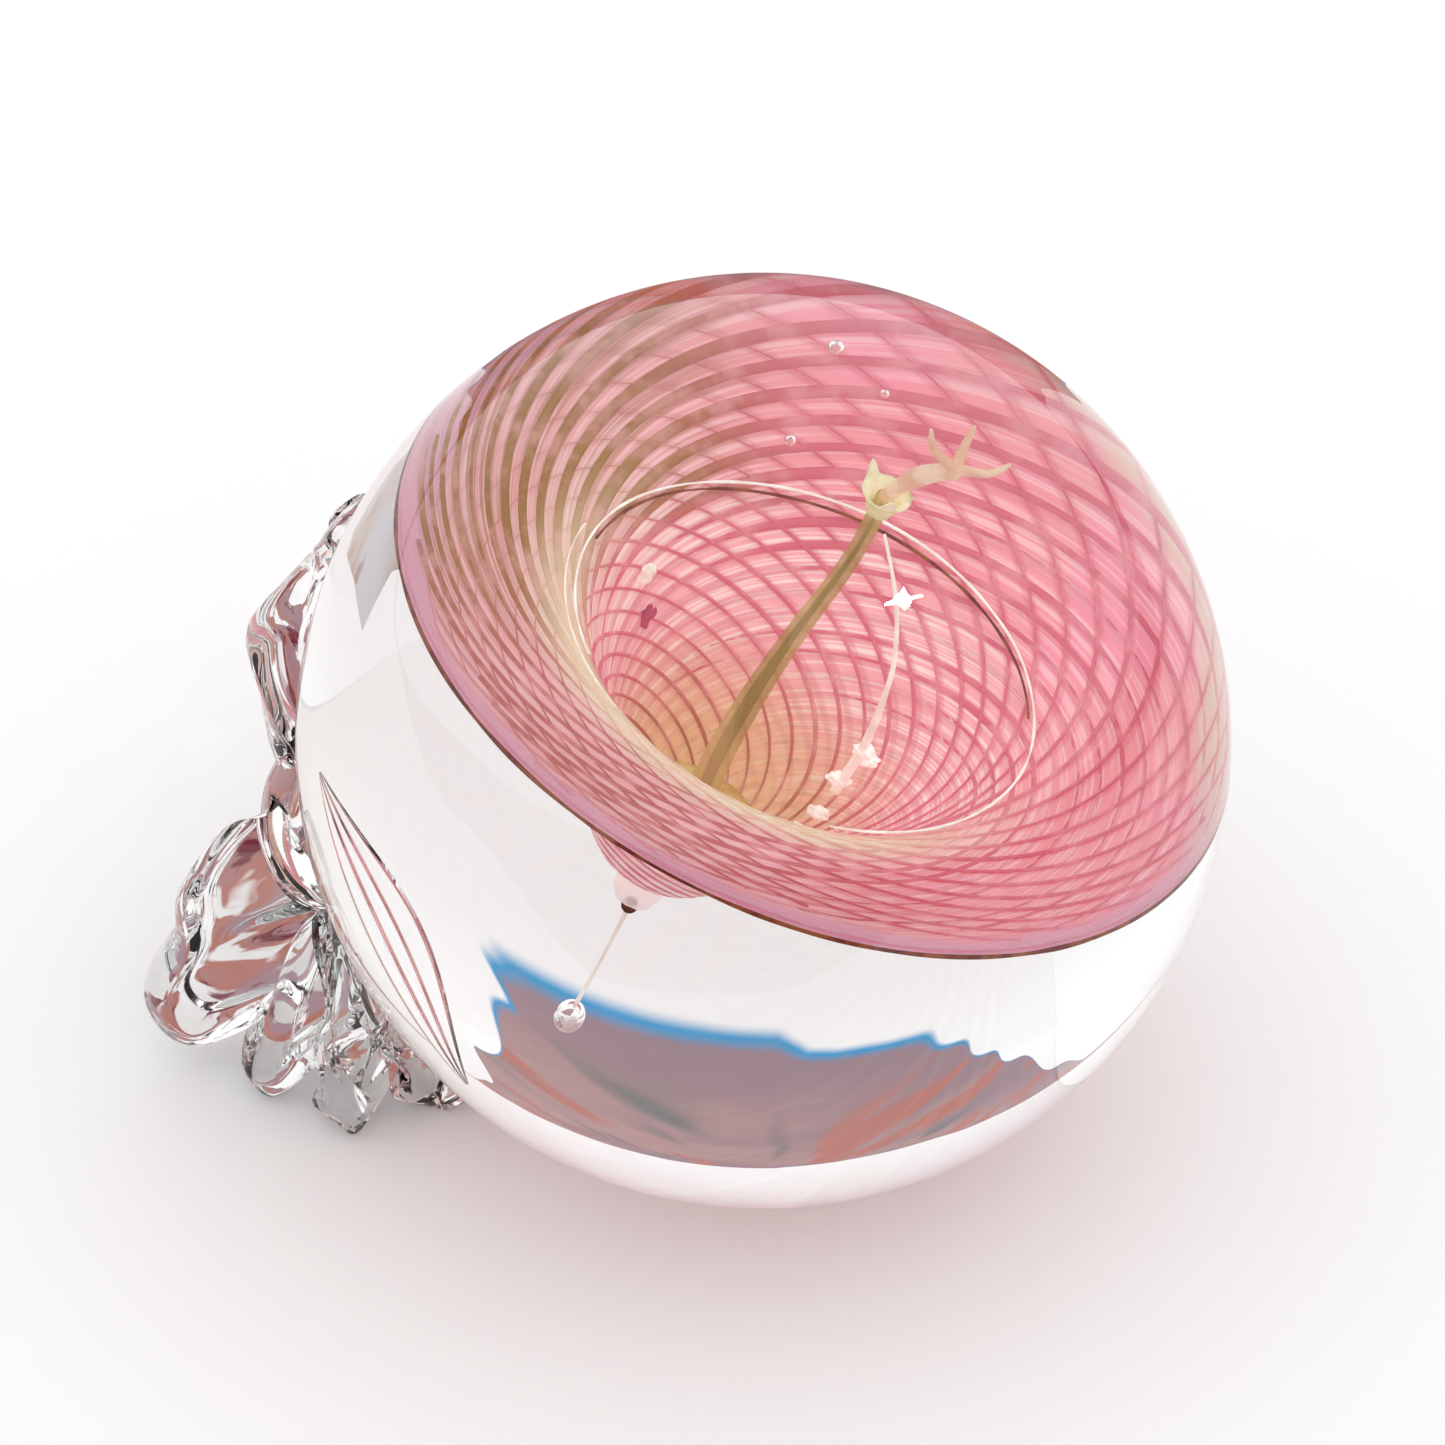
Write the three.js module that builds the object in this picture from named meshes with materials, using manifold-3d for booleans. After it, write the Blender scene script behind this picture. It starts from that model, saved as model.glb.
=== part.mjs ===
// Glass ball paperweight: a pink trumpet flower with a pistil is encased in clear glass, and a crimped
// clear foot is applied to the side of the ball. Millimetres, +Z up. The origin is the centre of the
// ground flat that the ball rests on. The flower has its own frame, tilted about Y at the ball's centre.
import * as THREE from "three";
import { mergeVertices } from "three/addons/utils/BufferGeometryUtils.js";
import Module from "manifold-3d";

const wasm = await Module();
wasm.setup();

// Driving dimensions
const BALL_RADIUS = 38;
const CENTRE_HEIGHT = 0.93 * BALL_RADIUS; // the rest is ground away as a flat
const FLOWER_TILT = THREE.MathUtils.degToRad(21.3);
const GAP = 0.3; // clearance between neighbouring pieces
const LAYER = 0.5; // thickness of a corolla layer and of a cane thread

const BODY_SEGMENTS = 36;
const LAYER_SEGMENTS = 28;

// Flower profile, [radius, height] along the flower's axis, from the funnel's tip to the rim
const RIM_RADIUS = 0.8 * BALL_RADIUS;
const RIM_HEIGHT = 0.163 * BALL_RADIUS;
const FLOWER_PROFILE = [
  [0, -10.2],
  [2.2, -9.4],
  [4.1, -7.5],
  [6.4, -5.0],
  [9.2, -1.9],
  [11.9, 1.0],
  [14.6, 3.4],
  [19.0, 4.5],
  [24.5, 5.2],
  [RIM_RADIUS, RIM_HEIGHT],
];
// The funnel leans aside: nothing at the top height, the full shift from the full height down
const LEAN = { x: -2.0, y: 1.2, top: 3, full: -10, end: -14, gone: -22, near: 16, far: 26 };
const CANE_OFFSET = (GAP + LAYER) / 2 + 0.02;
const LAYER_OFFSET = CANE_OFFSET + LAYER / 2 + GAP;
const BODY_OFFSET = LAYER_OFFSET + LAYER + GAP;
const RIM_POCKET = 1.4; // how far the pocket of the rim thread reaches past the layers
const CANES = 10;
const CANE_TWIST = THREE.MathUtils.degToRad(150);
const LIP = { at: 6 / 9, thread: 0.3 }; // the seventh point of the profile
const RIM_THREAD = 0.35;

// Pistil, in the flower's frame
const STEM_RADIUS = 0.65;
const STEM_PATH = [
  [-1.6, 0.4, -5.1],
  [-2.0, -0.4, -1.5],
  [-1.8, -0.4, 3],
  [-1.2, -0.2, 8],
  [-0.2, -0.1, 15],
  [0, 0, 21.4],
];
const STEM_POCKET_START = [-1.4, 0.7, -6.4]; // the stem's pocket opens onto the throat bit
const COLLAR = { bottom: 19.4, top: 21.8, narrow: 1.45, wide: 2.2 };
const NECK_PATH = [
  [0.1, -0.1, 22.0],
  [1.1, -0.8, 25],
  [2.5, -1.65, 27.7],
];
const NECK_RADIUS = 0.65;
const STIGMA_ROOT = [3.06, -1.99, 28.8];
const STIGMA_TIPS = [
  [0.5, -1.2, 32.0],
  [6.9, -1.5, 31.2],
  [4.0, 0.8, 32.0],
];
const STIGMA_RADIUS = 0.6;
const THROAT_THREAD_PATH = [
  [1.1, -0.7, 18.0],
  [2.96, -1.74, 14.4],
  [4.64, -2.1, 7.6],
  [5.2, -0.1, 2.0],
  [5.0, 0.9, -1.8],
];
const THROAT_THREAD_POCKET_END = [4.9, 1.4, -4.6]; // its pocket opens onto the funnel
const THROAT_THREAD_RADIUS = 0.3;
const THROAT_ROOM_RADIUS = 7;
const THROAT_BIT_TOP = 0.25; // where the bit at the bottom of the throat ends along the profile

// Pieces under the funnel, in the flower's frame
const DROP = { radius: 1.3, top: -12.0, bottom: -14.2 };
const TAIL_PATH = [
  [-2.0, 1.3, -14.6],
  [-1.9, 1.8, -16.8],
  [-1.84, 2.0, -19.4],
];
const TAIL_RADIUS = 0.3;

// Foot: the rim goes once round the hub. Each point is [x, y, z, pleat] in ball radii, and the pleat
// runs from -1 in a valley to 1 on a crest.
const HUB_DIRECTION = new THREE.Vector3(-0.93, 0.15, -0.33).normalize();
const HUB_RADIUS = 0.15 * BALL_RADIUS;
const HUB_DISTANCE = 1.03 * BALL_RADIUS;
const FOOT_RIM = [
  [-0.88, 0.72, 1.08, -0.4],
  [-0.96, 0.58, 0.97, 0.6],
  [-1.01, 0.42, 0.9, 1],
  [-1.0, 0.24, 0.84, 0.4],
  [-0.98, 0.1, 0.78, -1],
  [-1.1, 0.07, 0.64, 0.6],
  [-1.19, 0.06, 0.5, 1],
  [-1.27, 0.05, 0.36, 0.2],
  [-1.29, 0.06, 0.22, 1],
  [-1.22, 0.06, 0.09, 0.9],
  [-1.12, 0.06, 0.06, -1],
  [-1.04, -0.05, 0.05, 1],
  [-0.96, -0.1, 0.07, -1],
  [-0.87, -0.17, 0.05, 1],
  [-0.78, -0.11, 0.07, -1],
  [-0.69, -0.11, 0.05, 0.8],
  [-0.56, -0.08, 0.05, -0.6],
  [-0.52, 0.06, 0.05, 0.8],
  [-0.58, 0.22, 0.05, -0.8],
  [-0.56, 0.38, 0.05, 0.8],
  [-0.66, 0.5, 0.05, -0.8],
  [-0.66, 0.66, 0.05, 0.8],
  [-0.78, 0.72, 0.18, -0.8],
  [-0.78, 0.84, 0.32, 0.8],
  [-0.86, 0.78, 0.46, -0.8],
  [-0.8, 0.82, 0.62, 0.8],
  [-0.88, 0.72, 0.74, -0.6],
  [-0.86, 0.74, 0.88, 0.6],
];
const PLEAT_DEPTH = 0.1 * BALL_RADIUS;
const SCALLOP = 0.035 * BALL_RADIUS; // how far a crest reaches past the rim, and a valley falls short
const SKIRT_THICKNESS = 0.08 * BALL_RADIUS;
const BEAD_THICKNESS = 0.14 * BALL_RADIUS;
const SKIRT_STANDOFF = 1.07; // ball radii from the ball's centre to the middle of the skirt
const SLIVER = 0.1; // detail finer than this is smoothed away
const RIM_STEPS = 84;
const SKIRT_STEPS = 5;

// Neck knop and leaf bit
const KNOP = { radius: 0.22 * BALL_RADIUS, distance: 0.93 };
const LEAF = {
  thickness: 1.3,
  inside: { direction: new THREE.Vector3(-0.875, -0.441, -0.201), angle: 22.9 },
  outside: { direction: new THREE.Vector3(-0.668, 0.398, -0.629), angle: 66.8 },
};

const centre = new THREE.Vector3(0, 0, CENTRE_HEIGHT);
const flowerCurve = new THREE.SplineCurve(FLOWER_PROFILE.map(([r, z]) => new THREE.Vector2(r, z)));
const flowerMatrix = new THREE.Matrix4().makeRotationY(FLOWER_TILT).setPosition(centre);

// Turns a closed geometry into a manifold solid.
function solid(geometry, matrix) {
  const plain = geometry.clone();
  plain.deleteAttribute("normal");
  plain.deleteAttribute("uv");
  if (matrix) plain.applyMatrix4(matrix);
  const merged = mergeVertices(plain, 1e-4);
  return new wasm.Manifold(
    new wasm.Mesh({
      numProp: 3,
      vertProperties: merged.attributes.position.array,
      triVerts: new Uint32Array(merged.index.array),
    }),
  );
}

// Turns a manifold solid back into a geometry.
function geometryOf(made) {
  const mesh = made.getMesh();
  const geometry = new THREE.BufferGeometry();
  geometry.setAttribute("position", new THREE.BufferAttribute(mesh.vertProperties, 3));
  geometry.setIndex(new THREE.BufferAttribute(mesh.triVerts, 1));
  geometry.computeVertexNormals();
  return geometry;
}

function lathe(points, segments) {
  const profile = points.map(([r, z]) => new THREE.Vector2(r, z));
  return new THREE.LatheGeometry(profile, segments).rotateX(Math.PI / 2);
}

// Leans the part of a geometry that belongs to the funnel; the brim and the ball's surface stay.
function lean(geometry) {
  const { smoothstep } = THREE.MathUtils;
  const position = geometry.attributes.position;
  for (let i = 0; i < position.count; i++) {
    const [x, y, z] = [position.getX(i), position.getY(i), position.getZ(i)];
    const down = smoothstep(-z, -LEAN.top, -LEAN.full) - smoothstep(-z, -LEAN.end, -LEAN.gone);
    const share = down * (1 - smoothstep(Math.hypot(x, y), LEAN.near, LEAN.far));
    position.setXY(i, x + LEAN.x * share, y + LEAN.y * share);
  }
  return geometry;
}

// A closed ring of round section.
function ring(radius, height, thread, sides = 5, segments = 32) {
  const section = [];
  for (let i = 0; i <= sides; i++) {
    const angle = (2 * Math.PI * i) / sides;
    section.push([radius + thread * Math.cos(angle), height + thread * Math.sin(angle)]);
  }
  return lathe(section, segments);
}

function sphere(radius, around, segments = 44) {
  const ball = new THREE.SphereGeometry(radius, segments, segments / 2).rotateX(Math.PI / 2);
  return solid(ball.translate(around.x, around.y, around.z));
}

// A rod of round section along a smooth path.
function rod(path, radius, sides = 8, steps = 8) {
  const curve = new THREE.CatmullRomCurve3(path.map((p) => new THREE.Vector3(...p)));
  const section = new THREE.Shape();
  for (let i = 0; i < sides; i++) {
    const angle = (2 * Math.PI * i) / sides;
    const point = [radius * Math.cos(angle), radius * Math.sin(angle)];
    if (i === 0) section.moveTo(...point);
    else section.lineTo(...point);
  }
  return new THREE.ExtrudeGeometry(section, { steps, bevelEnabled: false, extrudePath: curve });
}

// A point of the flower's profile, moved sideways by a distance; positive is towards the crown.
function profilePoint(at, distance) {
  const point = flowerCurve.getPoint(at);
  const tangent = at === 0 ? new THREE.Vector2(1, 0) : flowerCurve.getTangent(at);
  return [point.x - tangent.y * distance, point.y + tangent.x * distance];
}

function offsetProfile(distance, samples = 11, from = 0) {
  return Array.from({ length: samples + 1 }, (_, i) =>
    profilePoint(from + ((1 - from) * i) / samples, distance),
  );
}

function layer(inside, outside) {
  return lean(lathe([...offsetProfile(inside), ...offsetProfile(outside).reverse()], LAYER_SEGMENTS));
}

// Spiral threads laid on the flower, all joined by a ring low in the throat.
function caneCage(distance, twist) {
  const start = 0.25;
  const profile = offsetProfile(distance, 12, start);
  let cage = solid(ring(profile[0][0], profile[0][1], LAYER / 2, 4, 24));
  for (let i = 0; i < CANES; i++) {
    const path = profile.map(([r, z], k) => {
      const angle = (2 * Math.PI * i) / CANES + (twist * k) / (profile.length - 1);
      return [r * Math.cos(angle), r * Math.sin(angle), z];
    });
    cage = cage.add(solid(rod(path.slice(0, -1), LAYER / 2, 4, 8)));
  }
  return lean(geometryOf(cage));
}

// Points of the ball's outline between two heights in the flower's frame.
function ballArc(fromHeight, toHeight, steps) {
  const from = Math.asin(fromHeight / BALL_RADIUS);
  const to = Math.asin(toHeight / BALL_RADIUS);
  const points = [];
  for (let i = 0; i <= steps; i++) {
    const angle = from + ((to - from) * i) / steps;
    points.push([BALL_RADIUS * Math.cos(angle), BALL_RADIUS * Math.sin(angle)]);
  }
  return points;
}

// The wall where a body meets the other one past the rim of the flower.
function splitWall(side) {
  const pocket = RIM_RADIUS + RIM_POCKET;
  return [
    [pocket, RIM_HEIGHT + side * (GAP / 2)],
    [pocket, RIM_HEIGHT + side * BODY_OFFSET],
  ];
}

const tableTop = solid(
  new THREE.BoxGeometry(200, 200, 100).translate(0, 0, -50),
  flowerMatrix.clone().invert(),
);

function baseGather(pockets) {
  const outline = [
    ...ballArc(-BALL_RADIUS, RIM_HEIGHT - GAP / 2, 12),
    ...splitWall(-1),
    ...offsetProfile(-BODY_OFFSET).reverse(),
  ];
  outline[0][0] = 0;
  const body = solid(lean(lathe(outline, BODY_SEGMENTS))).subtract(tableTop);
  return geometryOf(pockets.reduce((left, pocket) => left.subtract(pocket), body));
}

function crownGather(pockets) {
  const outline = [
    ...offsetProfile(BODY_OFFSET),
    ...splitWall(1).reverse(),
    ...ballArc(RIM_HEIGHT + GAP / 2, BALL_RADIUS, 9),
  ];
  outline[outline.length - 1][0] = 0;
  const body = solid(lean(lathe(outline, BODY_SEGMENTS)));
  return geometryOf(pockets.reduce((left, pocket) => left.subtract(pocket), body));
}

function lipThread(spare = 0) {
  const centreOffset = LAYER_OFFSET + LAYER + GAP + LIP.thread;
  return ring(...profilePoint(LIP.at, centreOffset), LIP.thread + spare);
}

// A flared ring round the stem.
function collar() {
  const inner = STEM_RADIUS + GAP;
  return lathe(
    [
      [inner, COLLAR.bottom],
      [COLLAR.narrow, COLLAR.bottom],
      [COLLAR.wide, COLLAR.top],
      [inner, COLLAR.top],
      [inner, COLLAR.bottom],
    ],
    20,
  );
}

// The pocket for the collar, closed over the stem.
function collarRoom() {
  return solid(
    lathe(
      [
        [0, COLLAR.bottom - GAP],
        [COLLAR.narrow + GAP, COLLAR.bottom - GAP],
        [COLLAR.wide + GAP, COLLAR.top + GAP],
        [0, COLLAR.top + GAP],
      ],
      20,
    ),
  );
}

// The bit that fills the bottom of the throat, under the stem.
function throatBit() {
  const side = Array.from({ length: 6 }, (_, i) =>
    profilePoint((THROAT_BIT_TOP * i) / 5, BODY_OFFSET),
  );
  return lean(lathe([...side, [0, side[5][1]]], 24));
}

// The crown's glass stops a gap above the throat bit.
function throatRoom() {
  const bottom = FLOWER_PROFILE[0][1];
  const top = profilePoint(THROAT_BIT_TOP, BODY_OFFSET)[1] + GAP;
  const outline = [
    [0, bottom],
    [THROAT_ROOM_RADIUS, bottom],
    [THROAT_ROOM_RADIUS, top],
    [0, top],
  ];
  return solid(lathe(outline, 24));
}

function stigma(spare = 0) {
  const lobes = STIGMA_TIPS.map((tip) => {
    const middle = tip.map((value, axis) => (value + STIGMA_ROOT[axis]) / 2);
    return solid(rod([STIGMA_ROOT, middle, tip], STIGMA_RADIUS + spare, 8, 4));
  });
  return geometryOf(lobes.reduce((joined, lobe) => joined.add(lobe)));
}

function tipDrop(spare = 0) {
  const middle = (DROP.top + DROP.bottom) / 2;
  const half = (DROP.top - DROP.bottom) / 2 + spare;
  const profile = [];
  for (let i = 0; i <= 8; i++) {
    const angle = -Math.PI / 2 + (Math.PI * i) / 8;
    profile.push([(DROP.radius + spare) * Math.cos(angle), middle + half * Math.sin(angle)]);
  }
  profile[0][0] = 0;
  profile[8][0] = 0;
  return lathe(profile, 20).translate(LEAN.x, LEAN.y, 0);
}

// The skirt's middle surface: from the hub, round the outside of the ball, to the rim.
function skirtPoint(around, out, rimCurve, pleatCurve) {
  const hub = centre.clone().addScaledVector(HUB_DIRECTION, HUB_DISTANCE);
  const rim = rimCurve.getPoint(around);
  const pleat = pleatCurve.getPoint(around).x;
  const spoke = rim.clone().sub(hub);
  spoke.addScaledVector(HUB_DIRECTION, -spoke.dot(HUB_DIRECTION)).setLength(HUB_RADIUS);
  const root = hub.clone().add(spoke);
  const bend = root.clone().add(rim).multiplyScalar(0.5).sub(centre);
  bend.setLength(Math.max(bend.length(), SKIRT_STANDOFF * BALL_RADIUS)).add(centre);
  const reach = rim.clone().sub(bend).setLength(SCALLOP * pleat * out ** 2);
  const point = root.multiplyScalar((1 - out) ** 2).add(reach);
  point.addScaledVector(bend, 2 * out * (1 - out)).addScaledVector(rim, out ** 2);
  const away = point.clone().sub(centre).normalize();
  return point.addScaledVector(away, PLEAT_DEPTH * pleat * out * (1.4 - out));
}

// Half the glass thickness: even along the skirt, fuller in the bead, closed at the rim.
function halfThickness(out) {
  const bead = Math.exp(-(((out - 0.88) / 0.1) ** 2));
  const round = Math.sqrt(Math.max(0, 1 - Math.max(0, (out - 0.86) / 0.14) ** 2));
  return ((SKIRT_THICKNESS + (BEAD_THICKNESS - SKIRT_THICKNESS) * bead) / 2) * round;
}

function ruffledFoot(cutters) {
  const rims = FOOT_RIM.map(([x, y, z]) => new THREE.Vector3(x, y, z).multiplyScalar(BALL_RADIUS));
  const pleats = FOOT_RIM.map(([, , , pleat]) => new THREE.Vector3(pleat, 0, 0));
  const rimCurve = new THREE.CatmullRomCurve3(rims, true, "catmullrom");
  const pleatCurve = new THREE.CatmullRomCurve3(pleats, true, "catmullrom");
  const at = (i, out) => skirtPoint((i + RIM_STEPS) / RIM_STEPS % 1, out, rimCurve, pleatCurve);
  const outs = Array.from({ length: SKIRT_STEPS }, (_, j) => Math.sin((Math.PI / 2) * (j / SKIRT_STEPS)));
  const positions = [];
  const rows = [];
  const addRow = (out, side) => {
    rows.push(positions.length / 3);
    for (let i = 0; i < RIM_STEPS; i++) {
      const along = at(i + 0.5, out).sub(at(i - 0.5, out));
      const outward = at(i, Math.min(1, out + 0.02)).sub(at(i, Math.max(0, out - 0.02)));
      const normal = along.cross(outward).normalize();
      positions.push(...at(i, out).addScaledVector(normal, side * halfThickness(out)).toArray());
    }
  };
  outs.forEach((out) => addRow(out, -1));
  addRow(1, 0);
  [...outs].reverse().forEach((out) => addRow(out, 1));
  const index = [];
  for (let r = 0; r + 1 < rows.length; r++) {
    for (let i = 0; i < RIM_STEPS; i++) {
      const next = (i + 1) % RIM_STEPS;
      const [a, b, c, d] = [rows[r] + i, rows[r] + next, rows[r + 1] + next, rows[r + 1] + i];
      index.push(a, c, b, a, d, c);
    }
  }
  const hub = centre.clone().addScaledVector(HUB_DIRECTION, HUB_DISTANCE);
  const half = halfThickness(0);
  positions.push(...hub.clone().addScaledVector(HUB_DIRECTION, -half).toArray());
  positions.push(...hub.clone().addScaledVector(HUB_DIRECTION, half).toArray());
  const capIn = positions.length / 3 - 2;
  for (let i = 0; i < RIM_STEPS; i++) {
    const next = (i + 1) % RIM_STEPS;
    index.push(rows[0] + i, rows[0] + next, capIn);
    index.push(rows.at(-1) + next, rows.at(-1) + i, capIn + 1);
  }
  const geometry = new THREE.BufferGeometry();
  geometry.setAttribute("position", new THREE.Float32BufferAttribute(positions, 3));
  geometry.setIndex(index);
  const body = cutters.reduce((left, cutter) => left.subtract(cutter), solid(geometry));
  return largestBody(body);
}

// The ball and the table plane clip slivers off the skirt; only the skirt itself is kept.
function largestBody(made) {
  return made.simplify(SLIVER).decompose().sort((a, b) => b.volume() - a.volume())[0];
}

function neckKnop(spare = 0) {
  const at = centre.clone().addScaledVector(HUB_DIRECTION, KNOP.distance * BALL_RADIUS);
  const bit = sphere(KNOP.radius + spare, at, 24);
  return spare ? bit : bit.subtract(sphere(BALL_RADIUS + GAP, centre));
}

// The sphere that cuts the ball's surface along a circle of the given angle round a direction.
function capSphere({ direction, angle }) {
  const reach = BALL_RADIUS / Math.cos(THREE.MathUtils.degToRad(angle));
  const radius = BALL_RADIUS * Math.tan(THREE.MathUtils.degToRad(angle));
  return sphere(radius, centre.clone().addScaledVector(direction.clone().normalize(), reach), 36);
}

// A pointed sliver of a shell round the ball, between two circles.
function leafBit() {
  return sphere(BALL_RADIUS + LEAF.thickness, centre)
    .subtract(sphere(BALL_RADIUS + GAP, centre))
    .intersect(capSphere(LEAF.inside))
    .subtract(capSphere(LEAF.outside));
}

function mesh(name, geometry, color, roughness = 0.05) {
  const material = new THREE.MeshStandardMaterial({ color, roughness, metalness: 0 });
  const made = new THREE.Mesh(geometry, material);
  made.name = name;
  return made;
}

function flowerGroup() {
  const group = new THREE.Group();
  group.position.copy(centre);
  group.rotation.y = FLOWER_TILT;
  const stem = rod(STEM_PATH, STEM_RADIUS);
  const neck = rod(NECK_PATH, NECK_RADIUS);
  const throatThread = rod(THROAT_THREAD_PATH, THROAT_THREAD_RADIUS, 6);
  const tail = rod(TAIL_PATH, TAIL_RADIUS, 6);
  const crownPockets = [
    solid(rod([STEM_POCKET_START, ...STEM_PATH], STEM_RADIUS + GAP)),
    collarRoom(),
    solid(rod([...NECK_PATH, STIGMA_ROOT], NECK_RADIUS + GAP)),
    solid(stigma(GAP)),
    solid(rod([...THROAT_THREAD_PATH, THROAT_THREAD_POCKET_END], THROAT_THREAD_RADIUS + GAP, 6)),
    throatRoom(),
    solid(lipThread(GAP)),
  ];
  const basePockets = [
    solid(tipDrop(GAP)),
    solid(rod([[LEAN.x, LEAN.y, DROP.bottom + 0.4], ...TAIL_PATH], TAIL_RADIUS + GAP, 6)),
  ];
  const layerInner = layer(LAYER_OFFSET, LAYER_OFFSET + LAYER);
  const layerOuter = layer(-LAYER_OFFSET - LAYER, -LAYER_OFFSET);
  group.add(
    mesh("base_gather", baseGather(basePockets), 0xf4f8fa),
    mesh("crown_gather", crownGather(crownPockets), 0xf4f8fa),
    mesh("corolla_outer_layer", layerOuter, 0xc98a86),
    mesh("corolla_inner_layer", layerInner, 0xf0b9c0),
    mesh("outer_cane_cage", caneCage(-CANE_OFFSET, CANE_TWIST), 0x8c4a3c),
    mesh("inner_cane_cage", caneCage(CANE_OFFSET, -CANE_TWIST), 0xb4485c),
    mesh("mouth_lip_thread", lipThread(), 0xfaf4ec),
    mesh("rim_thread", ring(RIM_RADIUS + GAP + RIM_THREAD, RIM_HEIGHT, RIM_THREAD), 0x6a2c2c),
    mesh("throat_bit", throatBit(), 0xb8a040),
    mesh("pistil_stem", stem, 0x7a6a30),
    mesh("pistil_collar", collar(), 0xbcc890),
    mesh("pistil_neck", neck, 0xe0d6a8),
    mesh("stigma", stigma(), 0xf6ecc8),
    mesh("throat_thread", throatThread, 0xfaf4ec),
    mesh("funnel_tip_drop", tipDrop(), 0xf0c4cc),
    mesh("tail_thread", tail, 0xe8e4dc),
  );
  return group;
}

function footGroup() {
  const group = new THREE.Group();
  const ballRoom = sphere(BALL_RADIUS + GAP, centre);
  const table = solid(new THREE.BoxGeometry(200, 200, 100).translate(0, 0, -50));
  const knop = neckKnop();
  const foot = ruffledFoot([ballRoom, table, neckKnop(GAP)]);
  group.add(
    mesh("neck_knop", geometryOf(knop), 0xf4f8fa),
    mesh("ruffled_foot", geometryOf(foot), 0xf4f8fa),
    mesh("leaf_bit", geometryOf(leafBit()), 0xf4f8fa),
  );
  return group;
}

const paperweight = new THREE.Group();
paperweight.add(flowerGroup(), footGroup());

export default paperweight;
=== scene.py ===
"""Glass ball paperweight with an encased pink trumpet flower and a ruffled clear foot.

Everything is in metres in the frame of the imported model. The flower has its own frame, tilted
about Y at the ball's centre, and every inner piece is built in that frame.
"""
import math
import random

import bmesh
import bpy
from mathutils import Matrix, Vector, noise


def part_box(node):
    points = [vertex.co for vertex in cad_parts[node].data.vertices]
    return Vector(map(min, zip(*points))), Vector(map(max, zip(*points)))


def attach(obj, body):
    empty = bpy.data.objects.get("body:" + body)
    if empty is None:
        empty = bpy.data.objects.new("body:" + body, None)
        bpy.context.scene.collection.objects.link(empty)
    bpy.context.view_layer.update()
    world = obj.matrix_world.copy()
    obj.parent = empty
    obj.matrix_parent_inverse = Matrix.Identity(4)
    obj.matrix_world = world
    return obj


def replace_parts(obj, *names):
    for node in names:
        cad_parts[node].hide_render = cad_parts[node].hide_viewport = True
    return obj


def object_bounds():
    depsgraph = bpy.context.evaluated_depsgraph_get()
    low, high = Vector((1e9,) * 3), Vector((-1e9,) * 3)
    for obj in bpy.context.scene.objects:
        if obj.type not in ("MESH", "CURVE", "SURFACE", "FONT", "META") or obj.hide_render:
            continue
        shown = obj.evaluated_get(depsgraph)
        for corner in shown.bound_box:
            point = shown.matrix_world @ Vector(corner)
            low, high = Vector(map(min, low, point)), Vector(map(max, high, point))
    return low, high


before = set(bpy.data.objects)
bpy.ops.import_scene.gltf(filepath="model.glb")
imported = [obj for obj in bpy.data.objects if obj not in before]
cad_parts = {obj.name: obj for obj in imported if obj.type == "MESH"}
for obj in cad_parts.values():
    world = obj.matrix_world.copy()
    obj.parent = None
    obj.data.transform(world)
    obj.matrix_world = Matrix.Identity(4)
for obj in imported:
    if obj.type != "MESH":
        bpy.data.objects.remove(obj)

CAD_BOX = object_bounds()
MM = 0.001

# The ball and the flower's frame
RADIUS = CAD_BOX[1][0]
CENTRE = Vector((0, 0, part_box("crown_gather")[1].z - RADIUS))
FLOWER_TILT = math.radians(21.3)
FLOWER = Matrix.Translation(CENTRE) @ Matrix.Rotation(FLOWER_TILT, 4, "Y")
R_MM = RADIUS / MM

# The flower's profile, [radius, height] in millimetres, from the funnel's tip to the rim
RIM_RADIUS = 0.8 * R_MM
RIM_HEIGHT = 0.163 * R_MM
PROFILE = [
    (0, -10.2), (2.2, -9.4), (4.1, -7.5), (6.4, -5.0), (9.2, -1.9),
    (11.9, 1.0), (14.6, 3.4), (19.0, 4.5), (24.5, 5.2), (RIM_RADIUS, RIM_HEIGHT),
]
# The funnel leans aside: nothing at the top height, the full shift from the full height down
LEAN = {"x": -2.0, "y": 1.2, "top": 3, "full": -10, "end": -14, "gone": -22, "near": 16, "far": 26}
LIP_AT = 6 / 9

# The two families of threads: how many, radians of twist for each mm of radius plus height, the
# sense of the twist, the radius in mm, how much wider they are on the ochre side, and how far they
# lie above the profile in mm
FIRST_CANES = {
    "count": 24, "twist": math.radians(9.0), "sign": 1, "radius": 0.21, "ochre": 0.8, "offset": 1.2,
}
SECOND_CANES = {
    "count": 24, "twist": math.radians(7.5), "sign": -1, "radius": 0.12, "ochre": -0.8, "offset": 1.42,
}
THREAD_END = 0.14  # where the threads end along the profile

# The two layers, in mm: how far above the profile, how thick, and how much lower the funnel lies
ROSE_LAYER = {"offset": 0.5, "thickness": 0.35, "dip": 1.5}
PALE_LAYER = {"offset": 1.1, "thickness": 0.25, "dip": 0}
RIPPLE = 0.05  # how high the layers rise over each thread of the first family, in mm

# Sides of the flower, as angles in its frame, in degrees
OCHRE_SIDE = 148  # the brim is browner and the first family's threads are wider
LEFT_SIDE = 195  # paler glass and duller threads
CREAM_SIDE = 232  # the fold into the throat is cream
BEIGE_SIDE = 35  # the rim is beige and wide
WIDE_RIM_SIDE = 140  # the rim is mauve and wide

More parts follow.
